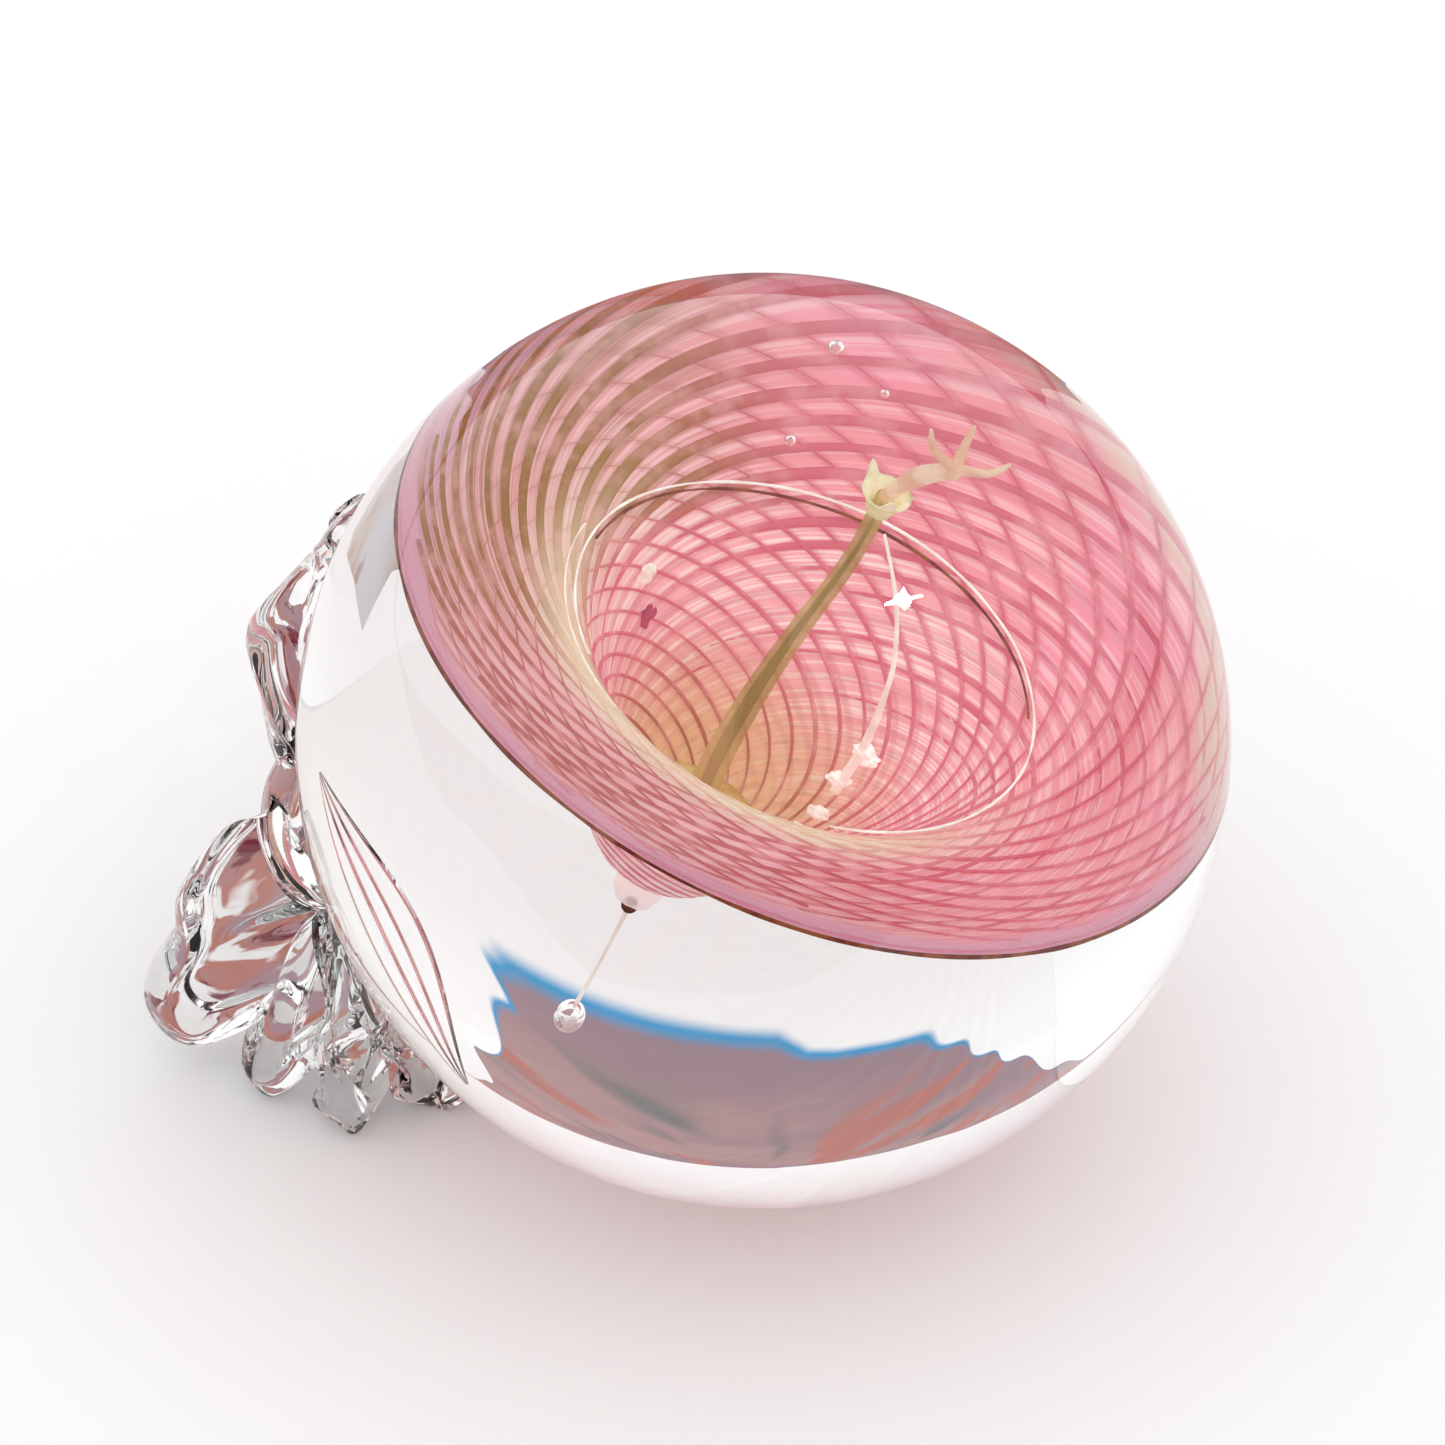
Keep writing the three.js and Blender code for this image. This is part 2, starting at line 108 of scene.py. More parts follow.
# Threads round the mouth and the rim: the ring's radius and height and the thread's own radius, in
# mm, and the arc in degrees
LIP_THREAD = {"radius": 13.9, "height": 5.2, "thread": 0.075, "arc": (-80, 196)}
LIP_STRAND = {"radius": 14.6, "height": 5.3, "thread": 0.05, "arc": (150, 215)}
# The lip shadow is a dark thread laid just inside and below the white lip thread as its painted shadow
LIP_SHADOW = {"radius": 13.6, "height": 4.95, "thread": 0.08, "arc": (10, 150)}
RIM_THREAD = {"radius": RIM_RADIUS + 0.2, "height": RIM_HEIGHT + 0.75, "thread": 0.16}

# Pistil, threads and small bits, in the flower's frame, millimetres; each path has its radii
THROAT_BIT_TOP = 0.25  # where the bit at the bottom of the throat ends along the profile
THROAT_BIT_LIFT = 1.5  # how far above the profile it starts
STEM_PATH = [
    (-1.5, 0.6, -6.2), (-2.0, -0.4, -1.5), (-1.8, -0.4, 3), (-1.2, -0.2, 8), (-0.2, -0.1, 15), (0, 0, 21.4),
]
STEM_RADII = (0.85, 0.8, 0.72, 0.62, 0.56, 0.6)
STEM_GROOVE = 0.25  # a share of the radius
CORE_LIFT = 0.4  # how far the dark core lies above the stem's own path
CORE_END = (0, 0, 20.6)
CORE_RADII = (0.3, 0.36, 0.34, 0.22, 0.16, 0.1)
COLLAR_POINTS = 5
COLLAR_PROFILE = [  # radius and height, up the outside and down the inside
    (0.85, 19.8), (1.0, 20.4), (1.25, 21.0), (1.7, 21.7),
    (1.45, 21.65), (1.0, 21.0), (0.7, 20.3), (0.65, 19.8),
]
# The lip starts to point at a height and is fully pointed a little higher; there it reaches out by
# a share of its radius and up by mm
COLLAR_FLARE = {"from": 20.4, "over": 1.4, "reach": 0.3, "lift": 1.5}
NECK_PATH = [(0, 0, 21.2), (0.5, -0.4, 23.2), (1.4, -1.0, 25.8), (2.9, -1.9, 28.4)]
NECK_RADII = (0.5, 0.55, 0.75, 0.6)
STIGMA_ROOT = (3.06, -1.99, 28.8)
STIGMA_TIPS = [  # each horn's tip, and how far its middle is off the straight line
    ((0.5, -1.2, 32.2), (-0.5, 0, -0.5)),
    ((7.0, -1.5, 31.4), (0.5, 0, -0.7)),
    ((4.0, 0.9, 32.0), (0, 0.3, -0.3)),
]
THROAT_THREAD = [
    (0.9, -0.6, 18.4), (2.96, -1.74, 14.4), (4.2, -2.2, 10.5), (4.64, -2.1, 7.6), (5.2, -0.1, 2.0),
    (5.0, 1.0, -2.4),
]
THROAT_THREAD_RADII = (0.1, 0.13, 0.15, 0.17, 0.26, 0.3)
THROAT_CHIPS = [(5.4, 0.2, 1.2), (5.9, 0.9, 0.2), (4.9, 0.9, -1.6), (4.2, -1.2, -2.6), (3.4, -2.2, -3.4)]
CHIP_RADII = (0.6, 0.45, 0.35)
MAGENTA_SPOT = ((-6.7, 6.8, 0.4), (0.35, 0.3, 0.9))  # place and radii, as in the next three
WHITE_FLECK = ((-7.6, 7.6, 2.6), (0.35, 0.25, 0.8))
TIP_DROP = ((-2.0, 1.4, -11.7), (1.25, 1.25, 1.2))
TIP_DOT = ((-1.86, 1.7, -13.1), (0.42, 0.42, 0.42))
TAIL_PATH = [(-1.85, 1.75, -13.6), (-1.8, 1.85, -16.4), (-1.84, 2.0, -19.0)]
TAIL_RADII = (0.12, 0.08, 0.12)
BUBBLES = [  # place and radius
    ((-2.25, 14.8, 17.2), 0.5), ((0.74, 12.0, 17.2), 0.28), ((-4.24, 8.2, 15.2), 0.33),
    ((-1.84, 2.0, -19.6), 0.7),
]
BUBBLE_HEIGHT = 1.1  # times its width

# The foot, the leaf and the knop, in ball radii where nothing else is said. The rim goes once round
# the hub: x, y, z, and the pleat from 1, a crest, to -1, a valley
HUB_DIRECTION = Vector((-0.93, 0.15, -0.33)).normalized()
HUB_DISTANCE = 1.03
HUB_RADIUS = 0.15
FOOT_RIM = [
    (-0.88, 0.72, 1.08, -0.4), (-0.96, 0.58, 0.97, 0.6), (-1.01, 0.42, 0.90, 1), (-1.00, 0.24, 0.84, 0.4),
    (-0.98, 0.10, 0.78, -1), (-1.10, 0.07, 0.64, 0.6), (-1.19, 0.06, 0.50, 1), (-1.27, 0.05, 0.36, 0.2),
    (-1.29, 0.06, 0.22, 1), (-1.22, 0.06, 0.09, 0.9), (-1.12, 0.06, 0.06, -1), (-1.04, -0.05, 0.05, 1),
    (-0.96, -0.10, 0.07, -1), (-0.87, -0.17, 0.05, 1), (-0.78, -0.11, 0.07, -1), (-0.69, -0.11, 0.05, 0.8),
    (-0.56, -0.08, 0.05, -0.6), (-0.52, 0.06, 0.05, 0.8), (-0.58, 0.22, 0.05, -0.8), (-0.56, 0.38, 0.05, 0.8),
    (-0.66, 0.50, 0.05, -0.8), (-0.66, 0.66, 0.05, 0.8), (-0.78, 0.72, 0.18, -0.8), (-0.78, 0.84, 0.32, 0.8),
    (-0.86, 0.78, 0.46, -0.8), (-0.80, 0.82, 0.62, 0.8), (-0.88, 0.72, 0.74, -0.6), (-0.86, 0.74, 0.88, 0.6),
]
PLEAT_DEPTH = 0.1
SCALLOP = 0.035
SKIRT_THICKNESS = 0.08
BEAD_THICKNESS = 0.14
BEAD = {"at": 0.88, "width": 0.1, "closes_from": 0.86, "closes_over": 0.14}  # shares of the way to the rim
SKIRT_STANDOFF = 1.07
LEAF_THICKNESS = 0.45 * MM
LEAF_TIPS = (Vector((-0.935, -0.311, 0.17)), Vector((-0.621, -0.677, -0.395)))
LEAF_REACH = (0.035, 0.28)  # radians to the side of the line between the tips, at its middle
LEAF_FOLDS = (-0.9, -0.25, 0.3, 0.9)  # across the leaf, from -1 to 1
LEAF_FOLD_WIDTH = 0.09
LEAF_UNDERSIDE = -0.5 * MM  # inside the ball, which it is joined to
LEAF_TIP_HEIGHT = -0.25 * MM
KNOP_RADIUS = 0.22
KNOP_DISTANCE = 0.93

# Camera and light
VIEW_ELEVATION = math.radians(38)
VIEW_DISTANCE = 0.8
FRAME_WIDTH = 117.2 * MM  # what the picture spans at the ball
BALL_OFFSET = (3.29 * MM, -1.5 * MM)  # of the ball's centre from the picture's, right and up
SENSOR_WIDTH = 36
WORLD_STRENGTH = 1.08
FLOOR_RADIUS = 1.5
FLOOR_DEPTH = 0.0002  # below the object, so that their faces don't meet

# Studio cards, in metres. The band goes once round: a bearing in degrees from +Y towards +X, the
# radius and height of its low edge, and the radius and height of its high edge
ROOM_EDGES = [
    (-180, 0.120, 0.000, 0.240, 0.080), (-150, 0.110, 0.000, 0.240, 0.080),
    (-110, 0.200, 0.030, 0.240, 0.080), (-75, 0.230, 0.060, 0.240, 0.062),
    (-38, 0.236, 0.068, 0.240, 0.073), (-31, 0.225, 0.046, 0.240, 0.072),
    (-22, 0.180, 0.012, 0.240, 0.070), (-16, 0.120, 0.003, 0.240, 0.066),
    (-10, 0.082, 0.000, 0.240, 0.066), (-5, 0.062, 0.000, 0.240, 0.067),
    (-2, 0.060, 0.000, 0.240, 0.068), (-1, 0.058, 0.000, 0.240, 0.069),
    (0, 0.0516, 0.000, 0.240, 0.069), (0.7, 0.0512, 0.000, 0.240, 0.069),
    (1.5, 0.0510, 0.000, 0.240, 0.069), (2.5, 0.0513, 0.000, 0.240, 0.069),
    (5, 0.0520, 0.000, 0.240, 0.069), (7, 0.0525, 0.000, 0.240, 0.069),
    (9, 0.055, 0.000, 0.240, 0.069), (12, 0.066, 0.001, 0.240, 0.068),
    (24, 0.120, 0.014, 0.240, 0.066), (28, 0.200, 0.045, 0.240, 0.064),
    (32, 0.236, 0.060, 0.240, 0.062), (90, 0.200, 0.010, 0.280, 0.050),
    (140, 0.200, 0.015, 0.280, 0.050), (180, 0.120, 0.000, 0.240, 0.080),
]
# Two cards that lie on the table, by their corners
TINT_CORNERS = [
    (-0.052, 0.013), (-0.044, 0.006), (-0.030, 0.002), (-0.022, 0.004),
    (-0.016, 0.030), (-0.028, 0.064), (-0.048, 0.064), (-0.054, 0.030),
]
SHADE_CORNERS = [
    (0.020, 0.030), (0.014, 0.028), (0.009, 0.030), (0.006, 0.034),
    (0.004, 0.041), (0.008, 0.039), (0.011, 0.040), (0.014, 0.036),
]
CARD_HEIGHT = 0.0002
STAR_DIRECTION = Vector((0.517, -0.214, 0.828))
STAR_DISTANCE = 0.5
STAR_SIZE = 0.017
STAR_STRENGTH = 60.0
STAR_POINTS = [  # turn in degrees, and reach in star sizes
    (0, 0.9), (20, 1.0), (27, 2.6), (35, 2.4), (42, 1.0), (75, 1.1), (95, 1.7), (115, 1.0), (150, 1.0),
    (185, 1.2), (205, 2.4), (212, 2.5), (220, 1.0), (260, 0.9), (280, 1.3), (300, 0.9), (330, 0.9),
]


# ---------------------------------------------------------------- curves and meshes
def catmull(points, at, closed=False):
    """A point of the smooth curve through points of any size; at runs from 0 to 1."""
    count = len(points)
    spans = count if closed else count - 1
    place = min(max(at * spans, 0), spans - (0 if closed else 1e-9))
    first = int(math.floor(place))
    share = place - first
    if closed:
        p = [points[(first + k) % count] for k in (-1, 0, 1, 2)]
    else:
        p = [points[min(max(first + k, 0), count - 1)] for k in (-1, 0, 1, 2)]
    return tuple(
        0.5 * ((2 * b) + (c - a) * share + (2 * a - 5 * b + 4 * c - d) * share**2
               + (3 * b - a - 3 * c + d) * share**3)
        for a, b, c, d in zip(*p)
    )


def profile_point(at, offset=0.0):
    """Radius and height on the flower, moved along its normal; positive is towards the crown."""
    r, z = catmull(PROFILE, at)
    r1, z1 = catmull(PROFILE, max(at - 0.002, 0))
    r2, z2 = catmull(PROFILE, min(at + 0.002, 1))
    length = math.hypot(r2 - r1, z2 - z1)
    tr, tz = (1, 0) if at <= 0 else ((r2 - r1) / length, (z2 - z1) / length)
    return r - tz * offset, z + tr * offset


def smoothstep(value, low, high):
    """A smooth step from 0 at low to 1 at high."""
    share = min(max((value - low) / (high - low), 0), 1)
    return share * share * (3 - 2 * share)


def lean(point):
    """Leans a point of the funnel, in metres in the flower's frame; the brim stays."""
    x, y, z = (c / MM for c in point)
    down = smoothstep(-z, -LEAN["top"], -LEAN["full"]) - smoothstep(-z, -LEAN["end"], -LEAN["gone"])
    share = down * (1 - smoothstep(math.hypot(x, y), LEAN["near"], LEAN["far"]))
    return Vector((x + LEAN["x"] * share, y + LEAN["y"] * share, z)) * MM


def lean_all(bm):
    for vert in bm.verts:
        vert.co = lean(vert.co)


def new_object(name, bm, material, matrix=Matrix.Identity(4), slot=None):
    """Makes an object of the mesh; one with a slot is a piece of the paperweight."""
    bmesh.ops.transform(bm, matrix=matrix, verts=bm.verts)
    bmesh.ops.recalc_face_normals(bm, faces=bm.faces)
    for face in bm.faces:
        face.smooth = True
    mesh = bpy.data.meshes.new(name)
    bm.to_mesh(mesh)
    bm.free()
    made = bpy.data.objects.new(name, mesh)
    bpy.context.scene.collection.objects.link(made)
    mesh.materials.append(material)
    if slot:
        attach(made, "root")
    return made


def add_rows(bm, rows):
    """Joins rings of points by quads; a ring of one point becomes a fan."""
    made = [[bm.verts.new(p) for p in row] for row in rows]
    for low, high in zip(made, made[1:]):
        count = max(len(low), len(high))
        for i in range(count):
            j = (i + 1) % count
            corners = [low[i % len(low)], low[j % len(low)], high[j % len(high)], high[i % len(high)]]
            unique = list(dict.fromkeys(corners))
            if len(unique) > 2:
                bm.faces.new(unique)


def circle_row(radius, height, segments):
    """A level ring of points, or one point where the radius is nothing."""
    if radius < 1e-6:
        return [Vector((0, 0, height))]
    return [
        Vector((radius * math.cos(a), radius * math.sin(a), height))
        for a in (2 * math.pi * i / segments for i in range(segments))
    ]


def lathe(bm, profile, segments):
    """Turns a profile of (radius, height), in millimetres, about the flower's axis."""
    add_rows(bm, [circle_row(max(r, 0) * MM, z * MM, segments) for r, z in profile])


def tube(bm, path, radii, sides=8, groove=0.0):
    """A closed tube along path, with one radius for each point and pointed ends, in metres."""
    last = len(path) - 1
    tangents = [(path[min(i + 1, last)] - path[max(i - 1, 0)]).normalized() for i in range(len(path))]
    side = tangents[0].orthogonal().normalized()
    rows = []
    for point, tangent, radius in zip(path, tangents, radii):
        side = (side - tangent * side.dot(tangent)).normalized()
        other = tangent.cross(side)
        row = []
        for a in (2 * math.pi * i / sides for i in range(sides)):
            reach = radius * (1 - groove * max(0, math.cos(a)) ** 8)
            row.append(point + reach * (math.cos(a) * side + math.sin(a) * other))
        rows.append(row)
    start = path[0] - tangents[0] * radii[0] * 0.6
    end = path[-1] + tangents[-1] * radii[-1] * 0.6
    add_rows(bm, [[start], *rows, [end]])


def smooth_path(points, steps):
    """A smooth path in metres through points in millimetres."""
    return [Vector(catmull(points, i / steps)) * MM for i in range(steps + 1)]


# ---------------------------------------------------------------- materials
def srgb(red, green, blue):
    """A display colour, 0 to 255, as the linear colour that a shader takes."""
    def linear(value):
        value /= 255
        return value / 12.92 if value <= 0.04045 else ((value + 0.055) / 1.055) ** 2.4
    return (linear(red), linear(green), linear(blue), 1)


GLASS_IOR = 1.5
PAINTED_GLOW = 0.24  # how strongly coloured glass glows: a painted glow in its own colour that stands in for light passed on through it

# Colours of the corolla: of the glass, of the lines in it, and of its special places
PINK, LEFT_PINK, SALMON = srgb(248, 160, 180), srgb(250, 196, 200), srgb(242, 168, 166)
STREAK, BROWN = srgb(255, 214, 218), srgb(176, 118, 76)
THROAT_PINK, THROAT_STREAK = srgb(248, 184, 190), srgb(255, 236, 232)
ROSE_LINE, LEFT_LINE = srgb(214, 98, 122), srgb(180, 96, 100)
OCHRE_LINE, THROAT_LINE = srgb(158, 98, 52), srgb(208, 100, 116)
AMBER, CREAM = srgb(226, 190, 118), srgb(238, 226, 200)
MAUVE_RIM, BEIGE_RIM = srgb(226, 172, 192), srgb(226, 200, 176)


class Nodes:
    """Builds a material's node tree from short expressions; every method returns a socket."""

    def __init__(self, name):
        self.material = bpy.data.materials.new(name)
        self.material.use_nodes = True
        self.tree = self.material.node_tree
        self.shader = next(n for n in self.tree.nodes if n.type == "BSDF_PRINCIPLED")
        self.output = next(n for n in self.tree.nodes if n.type == "OUTPUT_MATERIAL")

    def node(self, kind, inputs=(), **settings):
        made = self.tree.nodes.new(kind)
        for key, value in settings.items():
            setattr(made, key, value)
        for key, value in dict(inputs).items():
            self.put(made.inputs[key], value)
        return made

    def put(self, socket, value):
        if isinstance(value, bpy.types.NodeSocket):
            self.tree.links.new(value, socket)
        else:
            socket.default_value = value

    def math(self, operation, a, b=0.0, c=0.0):
        inputs = {0: a, 1: b, 2: c}
        return self.node("ShaderNodeMath", inputs, operation=operation).outputs[0]

    def add(self, a, b):
        return self.math("ADD", a, b)

    def times(self, a, b):
        return self.math("MULTIPLY", a, b)

    def ramp(self, value, low, high, to_low=0.0, to_high=1.0):
        """A smooth step from to_low at low to to_high at high."""
        made = self.node(
            "ShaderNodeMapRange", {"Value": value, "From Min": low, "From Max": high},
            interpolation_type="SMOOTHSTEP",
        )
        made.inputs["To Min"].default_value = to_low
        made.inputs["To Max"].default_value = to_high
        return made.outputs[0]

    def mix(self, share, a, b):
        """Mixes two colours."""
        made = self.node("ShaderNodeMix", {0: share, 6: a, 7: b}, data_type="RGBA")
        return made.outputs[2]

    def noise(self, vector, scale, detail=3.0):
        inputs = {"Vector": vector, "Scale": scale, "Detail": detail}
        return self.node("ShaderNodeTexNoise", inputs).outputs["Fac"]

    def combine(self, x, y, z):
        return self.node("ShaderNodeCombineXYZ", {0: x, 1: y, 2: z}).outputs[0]

    def set(self, **values):
        """Sets the Principled shader's sockets; underscores in the names stand for spaces."""
        for key, value in values.items():
            self.put(self.shader.inputs[key.replace("_", " ")], value)
        return self.material

    def see_through(self, share):
        """Lets a share of the light straight through the surface."""
        clear = self.node("ShaderNodeBsdfTransparent").outputs[0]
        mixed = self.node("ShaderNodeMixShader", {0: share, 1: self.shader.outputs[0], 2: clear})
        self.put(self.output.inputs[0], mixed.outputs[0])

    def flower(self):
        """The point in the flower's frame: its vector, and its radius, angle and height in mm."""
        place = self.node("ShaderNodeTexCoord").outputs["Object"]
        local = self.node(
            "ShaderNodeMapping", {"Vector": place, "Location": CENTRE, "Rotation": (0, FLOWER_TILT, 0)},
            vector_type="TEXTURE",
        ).outputs[0]
        x, y, z = self.node("ShaderNodeSeparateXYZ", {0: local}).outputs
        radius = self.math("SQRT", self.add(self.times(x, x), self.times(y, y)))
        in_mm = 1 / MM
        return local, self.times(radius, in_mm), self.math("ARCTAN2", y, x), self.times(z, in_mm)

    def facing(self, angle, towards, low=-0.6, high=0.9):
        """1 where the flower's angle is towards the given one, 0 opposite."""
        turned = self.math("COSINE", self.math("SUBTRACT", angle, math.radians(towards)))
        return self.ramp(turned, low, high)

    def narrow_facing(self, angle, towards):
        """Like facing, but confined to a narrower side."""
        return self.facing(angle, towards, 0.5, 0.98)

    def stripes(self, angle, along, family, wobble, low, high):
        """1 on the threads of a family of canes, 0 between them."""
        cycles = self.add(angle, self.times(along, family["twist"]))
        phase = self.add(self.times(cycles, family["count"]), self.times(wobble, 4.0))
        return self.ramp(self.math("COSINE", phase), low, high)


def clear_glass():
    nodes = Nodes("clear_glass")
    return nodes.set(
        Base_Color=(0.985, 0.995, 0.99, 1), Roughness=0.0, IOR=GLASS_IOR, Transmission_Weight=1.0,
    )


def air_bubble():
    """The inside of a bubble, seen from the glass around it."""
    nodes = Nodes("air_bubble")
    return nodes.set(Base_Color=(1, 1, 1, 1), Roughness=0.0, IOR=1 / GLASS_IOR, Transmission_Weight=1.0)


def embedded(nodes, color):
    """Coloured glass inside clear glass: no gloss, and a painted glow in its own colour that stands in for the
    light it would pass on.
    """
    return nodes.set(
        Base_Color=color, Roughness=0.7, Specular_IOR_Level=0.0,
        Emission_Color=color, Emission_Strength=PAINTED_GLOW,
    )


def petal_ground(nodes, local, spiral, angle, throat):
    """The glass between the threads: streaks along the spirals, a browner side, a pale throat."""
    streaks = nodes.ramp(nodes.noise(spiral, 1.0, 3), 0.46, 0.62)
    strands = nodes.ramp(nodes.noise(spiral, 0.55, 2), 0.46, 0.6)
    soft = nodes.ramp(nodes.noise(local, 90, 2), 0.4, 0.62)
    browner = nodes.times(
        nodes.narrow_facing(angle, OCHRE_SIDE), nodes.add(nodes.times(strands, 0.55), 0.1),
    )
    ground = nodes.mix(nodes.facing(angle, LEFT_SIDE), PINK, LEFT_PINK)
    ground = nodes.mix(nodes.times(soft, 0.6), ground, SALMON)
    ground = nodes.mix(browner, ground, BROWN)
    ground = nodes.mix(nodes.times(streaks, 0.75), ground, STREAK)
    return nodes.mix(throat, ground, nodes.mix(streaks, THROAT_PINK, THROAT_STREAK))


def petal_lines(nodes, angle, throat):
    """The colour of the threads that show in the glass."""
    lines = nodes.mix(nodes.facing(angle, LEFT_SIDE), ROSE_LINE, LEFT_LINE)
    lines = nodes.mix(nodes.narrow_facing(angle, OCHRE_SIDE), lines, OCHRE_LINE)
    return nodes.mix(throat, lines, THROAT_LINE)


def petal_rim(nodes, radius, angle, wobble, color):
    """Adds the mauve rim, which is beige and wider on one side."""
    beige_side = nodes.narrow_facing(angle, BEIGE_SIDE)
    wide_side = nodes.narrow_facing(angle, WIDE_RIM_SIDE)
    widening = nodes.add(nodes.times(beige_side, 5.4), nodes.times(wide_side, 4.0))
    edge = nodes.add(widening, nodes.add(radius, nodes.times(wobble, 3)))
    rim = nodes.ramp(edge, 28.0, 29.4)
    return nodes.mix(nodes.times(rim, 0.85), color, nodes.mix(beige_side, MAUVE_RIM, BEIGE_RIM))


def petal_color(nodes, strength, amber_strength):
    """The corolla's colour, and where its first threads are; strength is how dark the lines are."""
    local, radius, angle, height = nodes.flower()
    along = nodes.add(radius, height)
    wobble = nodes.math("SUBTRACT", nodes.noise(local, 130), 0.5)
    turned = nodes.add(angle, nodes.times(along, FIRST_CANES["twist"]))
    spiral = nodes.combine(
        nodes.times(nodes.math("COSINE", turned), 26.0), nodes.times(nodes.math("SINE", turned), 26.0),
        nodes.times(along, 0.22),
    )
    first = nodes.stripes(angle, along, FIRST_CANES, wobble, -0.2, 0.7)
    second = nodes.stripes(angle, nodes.times(along, -1), SECOND_CANES, wobble, 0.2, 0.9)
    throat = nodes.ramp(radius, 14.2, 12.5)
    ground = petal_ground(nodes, local, spiral, angle, throat)
    lines = petal_lines(nodes, angle, throat)
    left_side = nodes.facing(angle, LEFT_SIDE)
    plain_side = nodes.math("SUBTRACT", 1.0, nodes.times(left_side, 0.85))
    color = nodes.mix(nodes.times(nodes.times(second, plain_side), 0.45 * strength), ground, lines)
    share = nodes.add(nodes.times(left_side, 0.4 * strength), 0.4 * strength)
    color = nodes.mix(nodes.times(first, share), color, lines)
    amber = nodes.ramp(nodes.add(height, nodes.times(wobble, 3)), 0.5, -6.5)
    color = nodes.mix(nodes.times(amber, amber_strength), color, AMBER)
    fold = nodes.times(nodes.ramp(radius, 19.5, 14.5), nodes.ramp(radius, 9.0, 12.5))
    cream = nodes.times(fold, nodes.facing(angle, CREAM_SIDE))
    color = nodes.mix(nodes.times(cream, 0.85), color, CREAM)
    return petal_rim(nodes, radius, angle, wobble, color), first


def petal_inner():
    nodes = Nodes("pale_pink_glass")
    color, first = petal_color(nodes, 0.8, 0.75)
    nodes.see_through(nodes.add(nodes.times(first, -0.2), 0.3))
    return embedded(nodes, color)


def petal_outer():
    nodes = Nodes("rose_glass")
    return embedded(nodes, petal_color(nodes, 1.0, 0.0)[0])


def cane_material(name, ochre, rose):
    """Threads that are brown on the ochre side of the flower and rose on the other."""
    nodes = Nodes(name)
    local, radius, angle, height = nodes.flower()
    on_brim = nodes.ramp(radius, 11.5, 14.5)
    left_side = nodes.times(nodes.facing(angle, LEFT_SIDE), on_brim)
    color = nodes.mix(left_side, rose, srgb(188, 106, 102))
    color = nodes.mix(nodes.times(nodes.narrow_facing(angle, OCHRE_SIDE), on_brim), color, ochre)
    color = nodes.mix(nodes.ramp(height, 1.0, -6.0), color, srgb(176, 104, 66))
    cream = nodes.times(nodes.facing(angle, CREAM_SIDE), nodes.ramp(radius, 18.5, 14.0))
    color = nodes.mix(nodes.times(cream, on_brim), color, srgb(226, 206, 176))
    color = nodes.mix(nodes.ramp(radius, 27.5, 29.0, 0, 0.7), color, srgb(222, 160, 180))
    shade = nodes.ramp(nodes.noise(local, 420, 4), 0.42, 0.68, 0.0, 0.35)
    return embedded(nodes, nodes.mix(shade, color, srgb(246, 186, 188)))


def mottled(name, first, second, scale=600, clear=0.0, stretch=(1, 1, 1)):
    """Glass of two colours in fine streaks; clear is the share of light it lets straight through."""
    nodes = Nodes(name)
    place = nodes.node("ShaderNodeTexCoord").outputs["Object"]
    stretched = nodes.node("ShaderNodeMapping", {"Vector": place, "Scale": stretch}).outputs[0]
    color = nodes.mix(nodes.ramp(nodes.noise(stretched, scale, 4), 0.38, 0.62), first, second)
    if clear:
        nodes.see_through(clear)
    return embedded(nodes, color)


# ---------------------------------------------------------------- pieces
def table_cut(bm):
    """Grinds off what is below the surface that the object rests on."""
    bmesh.ops.bisect_plane(
        bm, geom=bm.verts[:] + bm.edges[:] + bm.faces[:], plane_co=(0, 0, 0), plane_no=(0, 0, -1),
        clear_outer=True,
    )
    bmesh.ops.holes_fill(bm, edges=[e for e in bm.edges if e.is_boundary])


def ball_mesh(bm, radius=RADIUS, centre=CENTRE, detail=7):
    made = bmesh.ops.create_icosphere(bm, subdivisions=detail, radius=radius)
    bmesh.ops.translate(bm, vec=centre, verts=made["verts"])


def skirt_point(around, out):
    """The middle surface of the foot: from the hub, round the outside of the ball, to the rim."""
    x, y, z, pleat = catmull(FOOT_RIM, around % 1, closed=True)
    rim = Vector((x, y, z)) * RADIUS
    hub = CENTRE + HUB_DIRECTION * HUB_DISTANCE * RADIUS
    spoke = rim - hub
    spoke -= HUB_DIRECTION * spoke.dot(HUB_DIRECTION)
    root = hub + spoke.normalized() * HUB_RADIUS * RADIUS
    bend = (root + rim) / 2 - CENTRE
    bend = CENTRE + bend.normalized() * max(bend.length, SKIRT_STANDOFF * RADIUS)
    point = root * (1 - out) ** 2 + bend * 2 * out * (1 - out) + rim * out**2
    point += (rim - bend).normalized() * SCALLOP * RADIUS * pleat * out**2
    away = (point - CENTRE).normalized()
    return point + away * PLEAT_DEPTH * RADIUS * pleat * out * (1.4 - out)


def half_thickness(out):
    """Half the glass thickness: even along the skirt, fuller in the bead, closed at the rim."""
    bead = math.exp(-(((out - BEAD["at"]) / BEAD["width"]) ** 2))
    closing = math.sqrt(max(0, 1 - max(0, (out - BEAD["closes_from"]) / BEAD["closes_over"]) ** 2))
    return RADIUS * (SKIRT_THICKNESS + (BEAD_THICKNESS - SKIRT_THICKNESS) * bead) / 2 * closing


